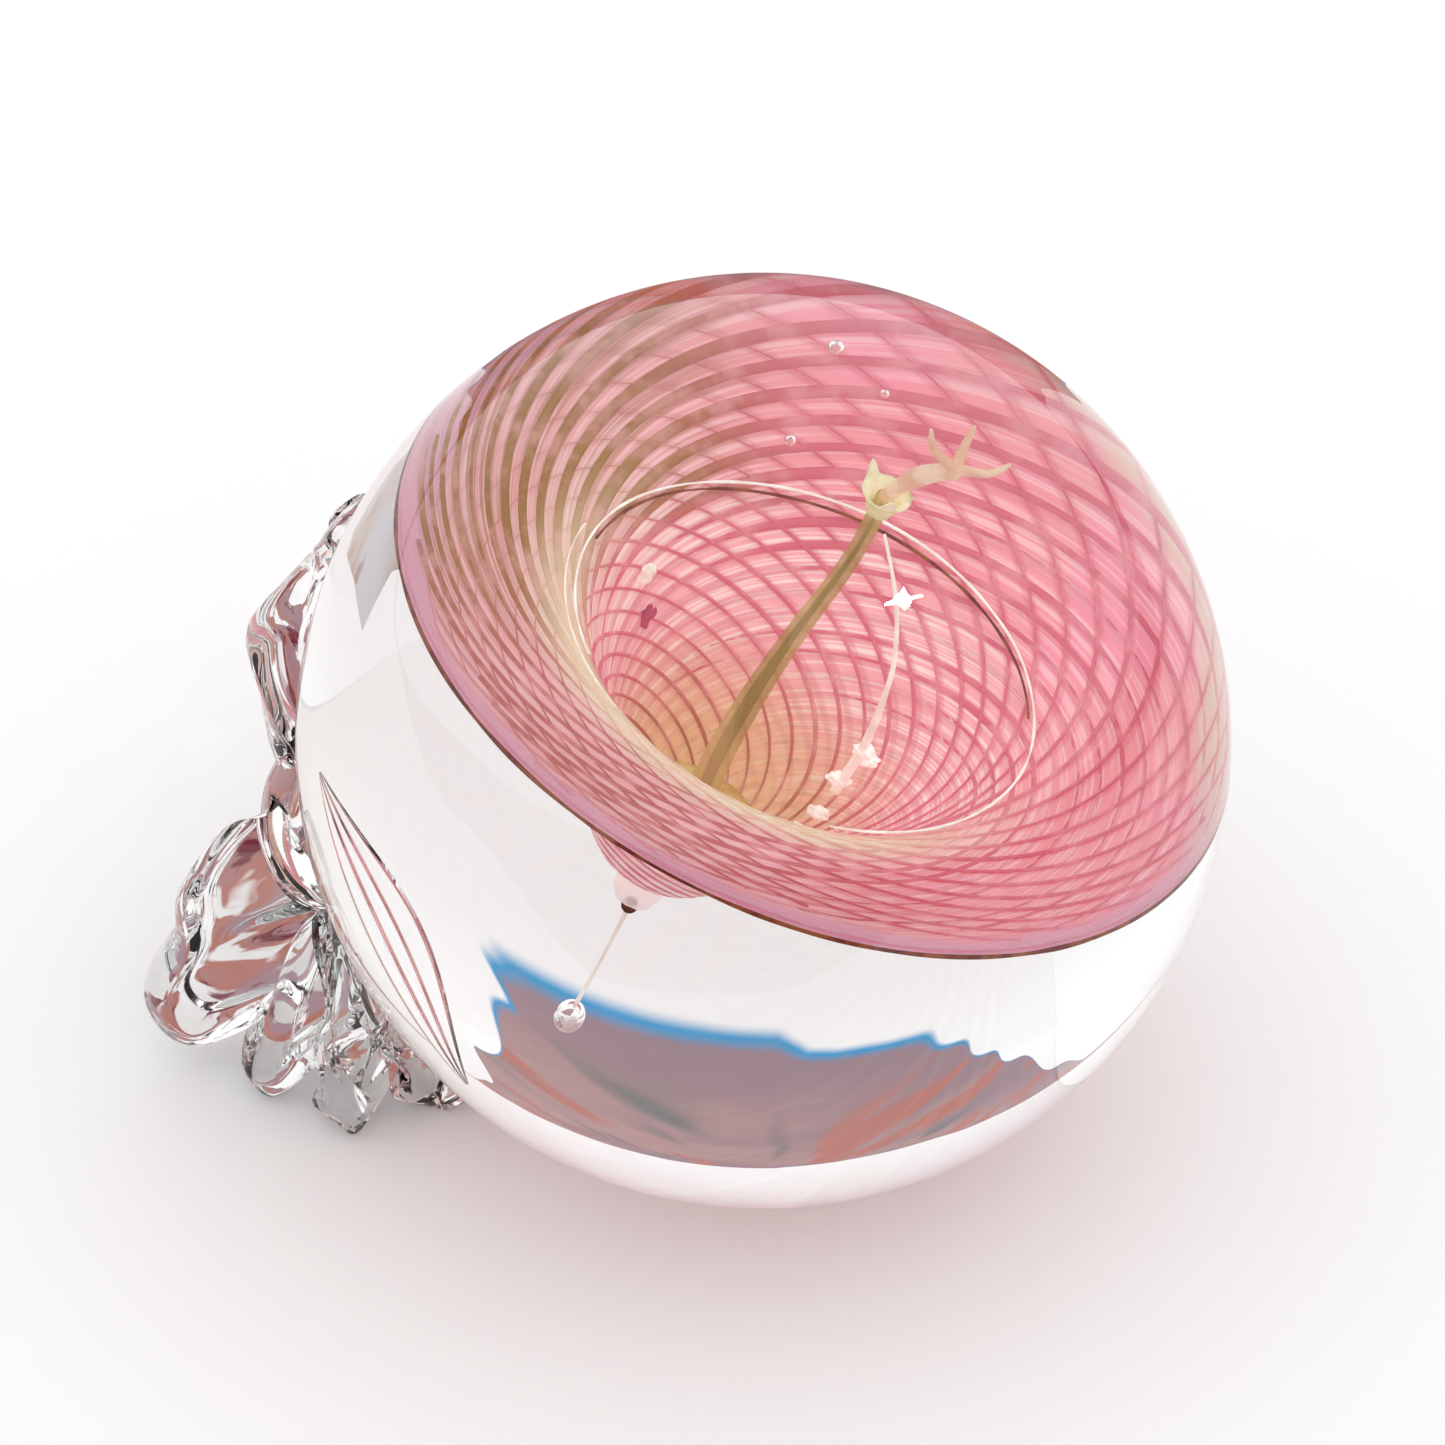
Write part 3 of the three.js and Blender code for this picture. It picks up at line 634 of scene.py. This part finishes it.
def foot_mesh(bm, around_steps=336, out_steps=30):
    """The pleated foot: its inner face from the hub to the rim, then its outer face back."""
    outs = [math.sin(math.pi / 2 * j / out_steps) for j in range(out_steps)]
    step = 0.5 / around_steps

    def row(out, side):
        points = []
        for i in range(around_steps):
            around = i / around_steps
            along = skirt_point(around + step, out) - skirt_point(around - step, out)
            outward = skirt_point(around, min(1, out + 0.02)) - skirt_point(around, max(0, out - 0.02))
            normal = along.cross(outward).normalized()
            points.append(skirt_point(around, out) + normal * side * half_thickness(out))
        return points

    hub = CENTRE + HUB_DIRECTION * HUB_DISTANCE * RADIUS
    half = half_thickness(0)
    rows = [[hub - HUB_DIRECTION * half]]
    rows += [row(out, -1) for out in outs]
    rows += [row(1, 0)]
    rows += [row(out, 1) for out in reversed(outs)]
    rows += [[hub + HUB_DIRECTION * half]]
    add_rows(bm, rows)


def helper(name, build_mesh):
    """An object for a boolean, removed once it has been used."""
    bm = bmesh.new()
    build_mesh(bm)
    bmesh.ops.recalc_face_normals(bm, faces=bm.faces)
    mesh = bpy.data.meshes.new(name)
    bm.to_mesh(mesh)
    bm.free()
    made = bpy.data.objects.new(name, mesh)
    bpy.context.scene.collection.objects.link(made)
    return made


def combine(target, other):
    """Joins the other object to the target's mesh and removes the other object."""
    modifier = target.modifiers.new("combine", "BOOLEAN")
    modifier.operation = "UNION"
    modifier.solver = "MANIFOLD"
    modifier.object = other
    depsgraph = bpy.context.evaluated_depsgraph_get()
    mesh = bpy.data.meshes.new_from_object(target.evaluated_get(depsgraph))
    target.modifiers.clear()
    old = target.data
    target.data = mesh
    bpy.data.meshes.remove(old)
    bpy.data.objects.remove(other)


def leaf_fold(side):
    """The leaf's height across its width: thin, with a rounded edge and long folds."""
    folds = (math.exp(-(((side - at) / LEAF_FOLD_WIDTH) ** 2)) for at in LEAF_FOLDS)
    return (0.6 + 0.3 * sum(folds)) * (1 - side**2) ** 0.25


def leaf_mesh(bm, long_steps=90, across_steps=70):
    """A thin pointed leaf of glass laid on the ball, bowed to one side."""
    start, end = (tip.normalized() for tip in LEAF_TIPS)
    across = start.cross(end).normalized()

    def surface(along, side, raised):
        bow = math.sin(math.pi * along) ** 0.9
        low, high = (bow * reach for reach in LEAF_REACH)
        turn = low + (high - low) * (side + 1) / 2
        direction = start.slerp(end, along) * math.cos(turn) + across * math.sin(turn)
        return CENTRE + direction * (RADIUS + raised)

    sides = [2 * j / across_steps - 1 for j in range(across_steps + 1)]
    rows = []
    for i in range(1, long_steps):
        along = i / long_steps
        taper = math.sin(math.pi * along) ** 0.5
        top = [surface(along, side, LEAF_THICKNESS * taper * leaf_fold(side)) for side in sides]
        under = [surface(along, side, LEAF_UNDERSIDE) for side in reversed(sides)]
        rows.append([*top, *under])
    add_rows(bm, [[surface(0, 0, LEAF_TIP_HEIGHT)], *rows, [surface(1, 0, LEAF_TIP_HEIGHT)]])


def mark_sharp(mesh, limit=math.radians(28)):
    """Smooth shading that stops at the welds."""
    bm = bmesh.new()
    bm.from_mesh(mesh)
    for face in bm.faces:
        face.smooth = True
    for edge in bm.edges:
        edge.smooth = not (len(edge.link_faces) == 2 and edge.calc_face_angle() > limit)
    bm.to_mesh(mesh)
    bm.free()


def clear_body(material):
    """All the clear glass as one body, as fused glass is: the ball, the knop, the foot and the leaf."""
    bm = bmesh.new()
    ball_mesh(bm)
    table_cut(bm)
    body = new_object("clear_body", bm, material, slot="clear_glass")
    foot = helper("foot", foot_mesh)
    knop_at = CENTRE + HUB_DIRECTION * KNOP_DISTANCE * RADIUS
    combine(foot, helper("knop", lambda bm: ball_mesh(bm, KNOP_RADIUS * RADIUS, knop_at, 5)))
    foot_bm = bmesh.new()
    foot_bm.from_mesh(foot.data)
    table_cut(foot_bm)
    foot_bm.to_mesh(foot.data)
    foot_bm.free()
    combine(body, foot)
    combine(body, helper("leaf", leaf_mesh))
    mark_sharp(body.data)
    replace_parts(body, "base_gather", "crown_gather", "neck_knop", "ruffled_foot", "leaf_bit")


def flower_layer(name, layer, material, slot, node):
    """A thin shell of the trumpet, rippled along the first family of canes."""
    steps, segments = 90, 360

    def row(at, through):
        lowered = layer["dip"] * (1 - smoothstep(at, 0.25, 0.6))
        radius, height = profile_point(at, layer["offset"] - lowered + through)
        points = []
        for i in range(segments if radius > 0.05 else 1):
            angle = 2 * math.pi * i / segments
            phase = (angle + FIRST_CANES["twist"] * (radius + height)) * FIRST_CANES["count"]
            raised = height + RIPPLE * math.cos(phase) * min(1, radius / 8)
            points.append(Vector((radius * math.cos(angle), radius * math.sin(angle), raised)) * MM)
        return points

    bm = bmesh.new()
    low = [row(i / steps, 0) for i in range(steps + 1)]
    high = [row(i / steps, layer["thickness"]) for i in range(steps, -1, -1)]
    add_rows(bm, [*low, *high])
    lean_all(bm)
    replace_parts(new_object(name, bm, material, FLOWER, slot), node)


def canes(name, family, material, slot, node):
    """All threads of one family, from the rim down into the throat."""
    steps = 110
    bm = bmesh.new()
    for i in range(family["count"]):
        thick = family["radius"] * random.uniform(0.75, 1.2)
        top = random.uniform(0.93, 0.99)
        path, radii = [], []
        for k in range(steps + 1):
            at = top + (THREAD_END - top) * k / steps
            radius, height = profile_point(at, family["offset"])
            angle = 2 * math.pi * i / family["count"] - family["twist"] * family["sign"] * (radius + height)
            path.append(Vector((radius * math.cos(angle), radius * math.sin(angle), height)) * MM)
            narrowing = min(1, 0.45 + 0.55 * (at - THREAD_END) / (LIP_AT - THREAD_END))
            uneven = 1 + 0.25 * noise.noise(Vector((k / 9, i * 3.1, 0)))
            ochre = family["ochre"] * (0.5 + 0.5 * math.cos(angle - math.radians(OCHRE_SIDE)))
            on_brim = smoothstep(radius, 10, 15)
            radii.append(thick * narrowing * uneven * (1 + ochre * on_brim) * MM)
        tube(bm, path, radii)
    lean_all(bm)
    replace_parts(new_object(name, bm, material, FLOWER, slot), node)


def ring_thread(name, material, slot, node=None, *, radius, height, thread, arc=(0, 360)):
    """A thread round the flower's axis; its radius, height and thickness vary a little."""
    start, end = (math.radians(a) for a in arc)
    closed = end - start > 2 * math.pi - 0.01
    steps = 240
    path, radii = [], []
    for k in range(steps + (0 if closed else 1)):
        angle = start + (end - start) * k / steps
        turn = Vector((math.cos(angle), math.sin(angle), 0))
        swing = 0.12 * noise.noise(turn * 1.7 + Vector((radius, 0, 0)))
        path.append((turn * (radius + swing) + Vector((0, 0, height + swing))) * MM)
        radii.append(thread * (1 + 0.5 * noise.noise(turn * 6)) * MM)
    bm = bmesh.new()
    if closed:
        closed_tube(bm, path, radii)
    else:
        tube(bm, path, radii)
    made = new_object(name, bm, material, FLOWER, slot)
    if node:
        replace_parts(made, node)


def closed_tube(bm, path, radii, sides=8):
    """A tube whose path is a loop round the flower's axis."""
    rows = []
    for point, radius in zip(path, radii):
        out = Vector((point.x, point.y, 0)).normalized()
        rows.append([
            point + radius * (math.cos(a) * out + math.sin(a) * Vector((0, 0, 1)))
            for a in (2 * math.pi * i / sides for i in range(sides))
        ])
    add_rows(bm, [*rows, rows[0]])
    bmesh.ops.remove_doubles(bm, verts=bm.verts, dist=1e-7)


def rod(name, path, radii, material, slot, node=None, groove=0.0):
    """A rod through points in the flower's frame; groove is the depth of one along its side."""
    steps = 60
    widths = [catmull([(r,) for r in radii], i / steps)[0] * MM for i in range(steps + 1)]
    bm = bmesh.new()
    tube(bm, smooth_path(path, steps), widths, sides=16, groove=groove)
    made = new_object(name, bm, material, FLOWER, slot)
    if node:
        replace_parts(made, node)


def collar(material):
    """A flared cup round the top of the stem, its lip drawn out into points."""
    segments = 60
    bm = bmesh.new()
    rows = []
    for radius, height in COLLAR_PROFILE:
        rise = max(0, (height - COLLAR_FLARE["from"]) / COLLAR_FLARE["over"])
        row = []
        for i in range(segments):
            angle = 2 * math.pi * i / segments
            point = max(0, math.cos(COLLAR_POINTS * angle / 2 + 0.6)) ** 6
            reach = radius * (1 + COLLAR_FLARE["reach"] * rise * point)
            lift = height + COLLAR_FLARE["lift"] * rise * point
            row.append(Vector((reach * math.cos(angle), reach * math.sin(angle), lift)) * MM)
        rows.append(row)
    add_rows(bm, [*rows, rows[0]])
    bmesh.ops.remove_doubles(bm, verts=bm.verts, dist=1e-7)
    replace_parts(new_object("pistil_collar_glass", bm, material, FLOWER, "pale_green_glass"), "pistil_collar")


def stigma(material):
    """Three tapering horns that leave one root."""
    steps = 30
    root = Vector(STIGMA_ROOT)
    start = root - Vector((0.25, -0.15, 0.9))  # inside the neck
    bm = bmesh.new()
    for tip, bow in STIGMA_TIPS:
        middle = (root + Vector(tip)) / 2 + Vector(bow)
        path = smooth_path([tuple(start), tuple(root), tuple(middle), tip], steps)
        radii = [MM * (0.62 - 0.5 * (i / steps) ** 1.5) for i in range(steps + 1)]
        tube(bm, path, radii, 12)
    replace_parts(new_object("stigma_horns", bm, material, FLOWER, "cream_glass"), "stigma")


def blob(name, place, radii, material, slot, node=None, lumps=0.0):
    """A rounded bit of glass in the flower's frame, with lumps where they are given."""
    bm = bmesh.new()
    bmesh.ops.create_icosphere(bm, subdivisions=4, radius=1)
    for vert in bm.verts:
        swell = 1 + lumps * noise.noise(vert.co * 2.3 + Vector(place))
        vert.co = (Vector([c * r for c, r in zip(vert.co, radii)]) * swell + Vector(place)) * MM
    made = new_object(name, bm, material, FLOWER, slot)
    if node:
        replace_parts(made, node)


def throat_bit(material):
    """The amber bit at the bottom of the throat; its top is drawn up round the stem."""
    steps = 20
    side = [profile_point(THROAT_BIT_TOP * i / steps, THROAT_BIT_LIFT) for i in range(steps + 1)]
    rim_radius, rim_height = side[-1]
    dome = [(rim_radius * c, rim_height + 0.8 * (1 - c)) for c in (0.8, 0.6, 0.4, 0.2, 0)]
    bm = bmesh.new()
    lathe(bm, [*side, *dome], 64)
    lean_all(bm)
    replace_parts(new_object("throat_amber", bm, material, FLOWER, "yellow_green_glass"), "throat_bit")


def corolla():
    flower_layer("corolla_rose", ROSE_LAYER, petal_outer(), "rose_glass", "corolla_outer_layer")
    flower_layer("corolla_pale", PALE_LAYER, petal_inner(), "pale_pink_glass", "corolla_inner_layer")
    brown = cane_material("brown_rose_cane", srgb(154, 104, 46), srgb(216, 106, 124))
    pink = cane_material("deep_pink_cane", srgb(196, 126, 110), srgb(214, 110, 128))
    canes("canes_first", FIRST_CANES, brown, "brown_rose_cane", "outer_cane_cage")
    canes("canes_second", SECOND_CANES, pink, "deep_pink_cane", "inner_cane_cage")


def mouth_and_rim(white):
    # Dark red glass, for the rim thread and for the painted shadow inside the white lip thread
    dark = mottled("dark_red_cane", srgb(112, 40, 36), srgb(150, 84, 50))
    ring_thread("lip_thread", white, "white_enamel", "mouth_lip_thread", **LIP_THREAD)
    ring_thread("lip_strand", white, "white_enamel", **LIP_STRAND)
    # A dark thread as painted shadow inside and below the white lip thread
    ring_thread("lip_shadow_thread", dark, "dark_red_cane", **LIP_SHADOW)
    ring_thread("rim_edge_thread", dark, "dark_red_cane", "rim_thread", **RIM_THREAD)


def pistil():
    olive = mottled(
        "olive_glass", srgb(176, 144, 66), srgb(214, 188, 122), 260, clear=0.45, stretch=(1, 1, 0.15),
    )
    core = mottled("dark_olive_cane", srgb(74, 56, 12), srgb(116, 90, 36), 300)
    pale_green = mottled("pale_green_glass", srgb(222, 220, 164), srgb(250, 240, 214), clear=0.15)
    cream = mottled("cream_glass", srgb(248, 226, 200), srgb(232, 190, 160), 380, clear=0.2)
    rod("pistil_rod", STEM_PATH, STEM_RADII, olive, "olive_glass", "pistil_stem", STEM_GROOVE)
    core_path = [(x, y, z + CORE_LIFT) for x, y, z in STEM_PATH[:-1]] + [CORE_END]
    rod("pistil_core", core_path, CORE_RADII, core, "olive_glass")
    collar(pale_green)
    rod("pistil_neck_rod", NECK_PATH, NECK_RADII, cream, "cream_glass", "pistil_neck")
    stigma(cream)


def throat(white):
    amber = mottled("yellow_green_glass", srgb(196, 158, 70), srgb(226, 200, 130), 300, clear=0.45)
    magenta = mottled("deep_pink_spot", srgb(150, 40, 90), srgb(190, 80, 110))
    throat_bit(amber)
    rod("throat_strand", THROAT_THREAD, THROAT_THREAD_RADII, white, "white_enamel", "throat_thread")
    for number, place in enumerate(THROAT_CHIPS):
        blob(f"throat_chip_{number + 1}", place, CHIP_RADII, white, "white_enamel", lumps=0.45)
    blob("magenta_spot", *MAGENTA_SPOT, magenta, "deep_pink_cane", lumps=0.5)
    blob("white_fleck", *WHITE_FLECK, white, "white_enamel", lumps=0.5)


def funnel_tip(white):
    pale = mottled(
        "pink_white_glass", srgb(250, 232, 230), srgb(255, 252, 250), 330, clear=0.35, stretch=(1, 1, 0.2),
    )
    brown = mottled("brown_dot_glass", srgb(84, 40, 22), srgb(120, 66, 40))
    blob("tip_drop", *TIP_DROP, pale, "pink_white_glass", "funnel_tip_drop", lumps=0.12)
    blob("tip_dot", *TIP_DOT, brown, "dark_red_cane")
    rod("tail_strand", TAIL_PATH, TAIL_RADII, white, "white_enamel", "tail_thread")


def bubbles():
    air = air_bubble()
    for number, (place, size) in enumerate(BUBBLES):
        blob(f"bubble_{number + 1}", place, (size, size, size * BUBBLE_HEIGHT), air, "clear_glass")


def build():
    random.seed(7)
    white = mottled("white_enamel", srgb(255, 252, 246), srgb(240, 226, 214))
    clear_body(clear_glass())
    corolla()
    mouth_and_rim(white)
    pistil()
    throat(white)
    funnel_tip(white)
    bubbles()


build()


# ---------------------------------------------------------------- stage
def glow(nodes, color, strength=1.0):
    """Makes the material a plain source of light, without gloss."""
    return nodes.set(
        Base_Color=(0, 0, 0, 1), Specular_IOR_Level=0.0, Emission_Color=color, Emission_Strength=strength,
    )


def room_glow():
    """Mauve, with redder and greyer patches, a blue near edge and a violet far edge."""
    nodes = Nodes("room_glow")
    place = nodes.node("ShaderNodeTexCoord").outputs["Object"]
    level = nodes.node("ShaderNodeAttribute", attribute_name="level").outputs["Fac"]
    patches = nodes.noise(place, 9, 2)
    x = nodes.node("ShaderNodeSeparateXYZ", {0: place}).outputs[0]
    upright = nodes.noise(nodes.combine(x, nodes.times(level, 0.02), 0.0), 46, 2)
    color = nodes.mix(nodes.ramp(patches, 0.42, 0.6), srgb(150, 124, 134), srgb(176, 142, 140))
    color = nodes.mix(nodes.ramp(upright, 0.52, 0.6), color, srgb(186, 112, 100))
    color = nodes.mix(nodes.ramp(upright, 0.42, 0.34), color, srgb(104, 112, 112))
    fine = nodes.noise(place, 30, 3)
    color = nodes.mix(nodes.ramp(fine, 0.5, 0.75, 0, 0.7), color, srgb(128, 120, 128))
    uneven = nodes.ramp(nodes.noise(place, 22, 1), 0.38, 0.52, 0.25, 1)
    edge = nodes.times(nodes.ramp(level, 0.024, 0.009), uneven)
    color = nodes.mix(edge, color, srgb(10, 150, 205))
    color = nodes.mix(nodes.ramp(level, 0.95, 1.0), color, srgb(90, 60, 130))
    soft = nodes.times(nodes.ramp(level, 0.0, 0.011), nodes.ramp(level, 1.0, 0.97))
    nodes.see_through(nodes.math("SUBTRACT", 1.0, soft))
    return glow(nodes, color)


def room_edges(bearing):
    """The low and high edge of the band at one bearing: radius and height of each."""
    after = next(k for k, edge in enumerate(ROOM_EDGES) if edge[0] > bearing)
    start, end = ROOM_EDGES[after - 1], ROOM_EDGES[after]
    share = smoothstep(bearing, start[0], end[0])
    return [low + (high - low) * share for low, high in zip(start[1:], end[1:])]


def room_card():
    """A band of dim surroundings all round the object; only the glass shows it."""
    steps, columns = 24, 720
    bm = bmesh.new()
    level = bm.verts.layers.float.new("level")
    rows = []
    for j in range(steps + 1):
        share = j / steps
        row = []
        for i in range(columns):
            bearing = 360 * i / columns - 180
            low_r, low_z, high_r, high_z = room_edges(bearing)
            radius = low_r + (high_r - low_r) * share
            turn = math.radians(bearing)
            height = low_z + (high_z - low_z) * share**1.2
            vert = bm.verts.new((radius * math.sin(turn), radius * math.cos(turn), height))
            vert[level] = share
            row.append(vert)
        rows.append(row)
    for low, high in zip(rows, rows[1:]):
        for i in range(columns):
            k = (i + 1) % columns
            bm.faces.new((low[i], low[k], high[k], high[i]))
    card = new_object("room_card", bm, room_glow())
    hide_card(card, transmission=True)


def cloth_glow(name, first, second, dark, bare_below):
    """Patches of cloth on the table, for the glass to show; bare where the noise is low."""
    nodes = Nodes(name)
    place = nodes.node("ShaderNodeTexCoord").outputs["Object"]
    color = nodes.mix(nodes.ramp(nodes.noise(place, 70, 3), 0.42, 0.58), first, second)
    color = nodes.mix(nodes.ramp(nodes.noise(place, 150, 4), 0.56, 0.62), color, dark)
    nodes.see_through(nodes.ramp(nodes.noise(place, 110, 3), bare_below + 0.06, bare_below))
    return glow(nodes, color)


def flat_card(name, corners, material):
    """Lies on the table; only the glass shows it."""
    bm = bmesh.new()
    bm.faces.new([bm.verts.new((x, y, CARD_HEIGHT)) for x, y in corners])
    hide_card(new_object(name, bm, material), transmission=True)


def star_card():
    """A small lamp in the shape of an uneven star, seen only as a reflection in the crown."""
    direction = STAR_DIRECTION.normalized()
    across = (Vector((1, 0, 0)) - direction * direction.x).normalized()
    upward = direction.cross(across)
    if upward.y < 0:
        upward.negate()
    bm = bmesh.new()
    ring = []
    for turn, reach in STAR_POINTS:
        angle = math.radians(turn)
        out = across * math.cos(angle) + upward * math.sin(angle)
        ring.append(bm.verts.new(CENTRE + direction * STAR_DISTANCE + out * reach * STAR_SIZE))
    bm.faces.new(ring)
    card = new_object("star_card", bm, glow(Nodes("star_glow"), (1, 1, 1, 1), STAR_STRENGTH))
    hide_card(card, transmission=False)


def hide_card(card, transmission):
    """Keeps a studio card out of the picture and off the floor; glass still shows it."""
    card.visible_camera = False
    card.visible_diffuse = False
    card.visible_shadow = False
    card.visible_transmission = transmission


def floor():
    nodes = Nodes("floor")
    bm = bmesh.new()
    bmesh.ops.create_circle(bm, cap_ends=True, segments=64, radius=FLOOR_RADIUS)
    made = new_object("floor", bm, nodes.set(Base_Color=(0.96, 0.96, 0.96, 1), Roughness=0.8))
    made.location.z = -FLOOR_DEPTH


def light():
    world = bpy.data.worlds.new("studio")
    bpy.context.scene.world = world
    world.use_nodes = True
    background = world.node_tree.nodes["Background"]
    background.inputs["Color"].default_value = (1, 1, 1, 1)
    background.inputs["Strength"].default_value = WORLD_STRENGTH


def camera():
    data = bpy.data.cameras.new("camera")
    made = bpy.data.objects.new("camera", data)
    bpy.context.scene.collection.objects.link(made)
    right = Vector((1, 0, 0))
    up = Vector((0, math.sin(VIEW_ELEVATION), math.cos(VIEW_ELEVATION)))
    back = Vector((0, -math.cos(VIEW_ELEVATION), math.sin(VIEW_ELEVATION)))
    aim = CENTRE - right * BALL_OFFSET[0] - up * BALL_OFFSET[1]
    made.location = aim + back * VIEW_DISTANCE
    made.rotation_mode = "QUATERNION"
    made.rotation_quaternion = (-back).to_track_quat("-Z", "Y")
    data.sensor_width = SENSOR_WIDTH
    data.lens = SENSOR_WIDTH * VIEW_DISTANCE / FRAME_WIDTH
    data.clip_start, data.clip_end = 0.01, 10
    bpy.context.scene.camera = made


floor()
light()
room_card()
mauve, red_brown, dark_red = srgb(160, 128, 138), srgb(176, 110, 98), srgb(112, 34, 48)
flat_card("tint_card", TINT_CORNERS, cloth_glow("tint_glow", mauve, red_brown, dark_red, 0.41))
grey, brown = srgb(186, 180, 186), srgb(168, 138, 122)
flat_card("shade_card", SHADE_CORNERS, cloth_glow("shade_glow", grey, brown, srgb(140, 84, 50), 0.36))
star_card()
camera()
bpy.context.scene.view_settings.view_transform = "Standard"
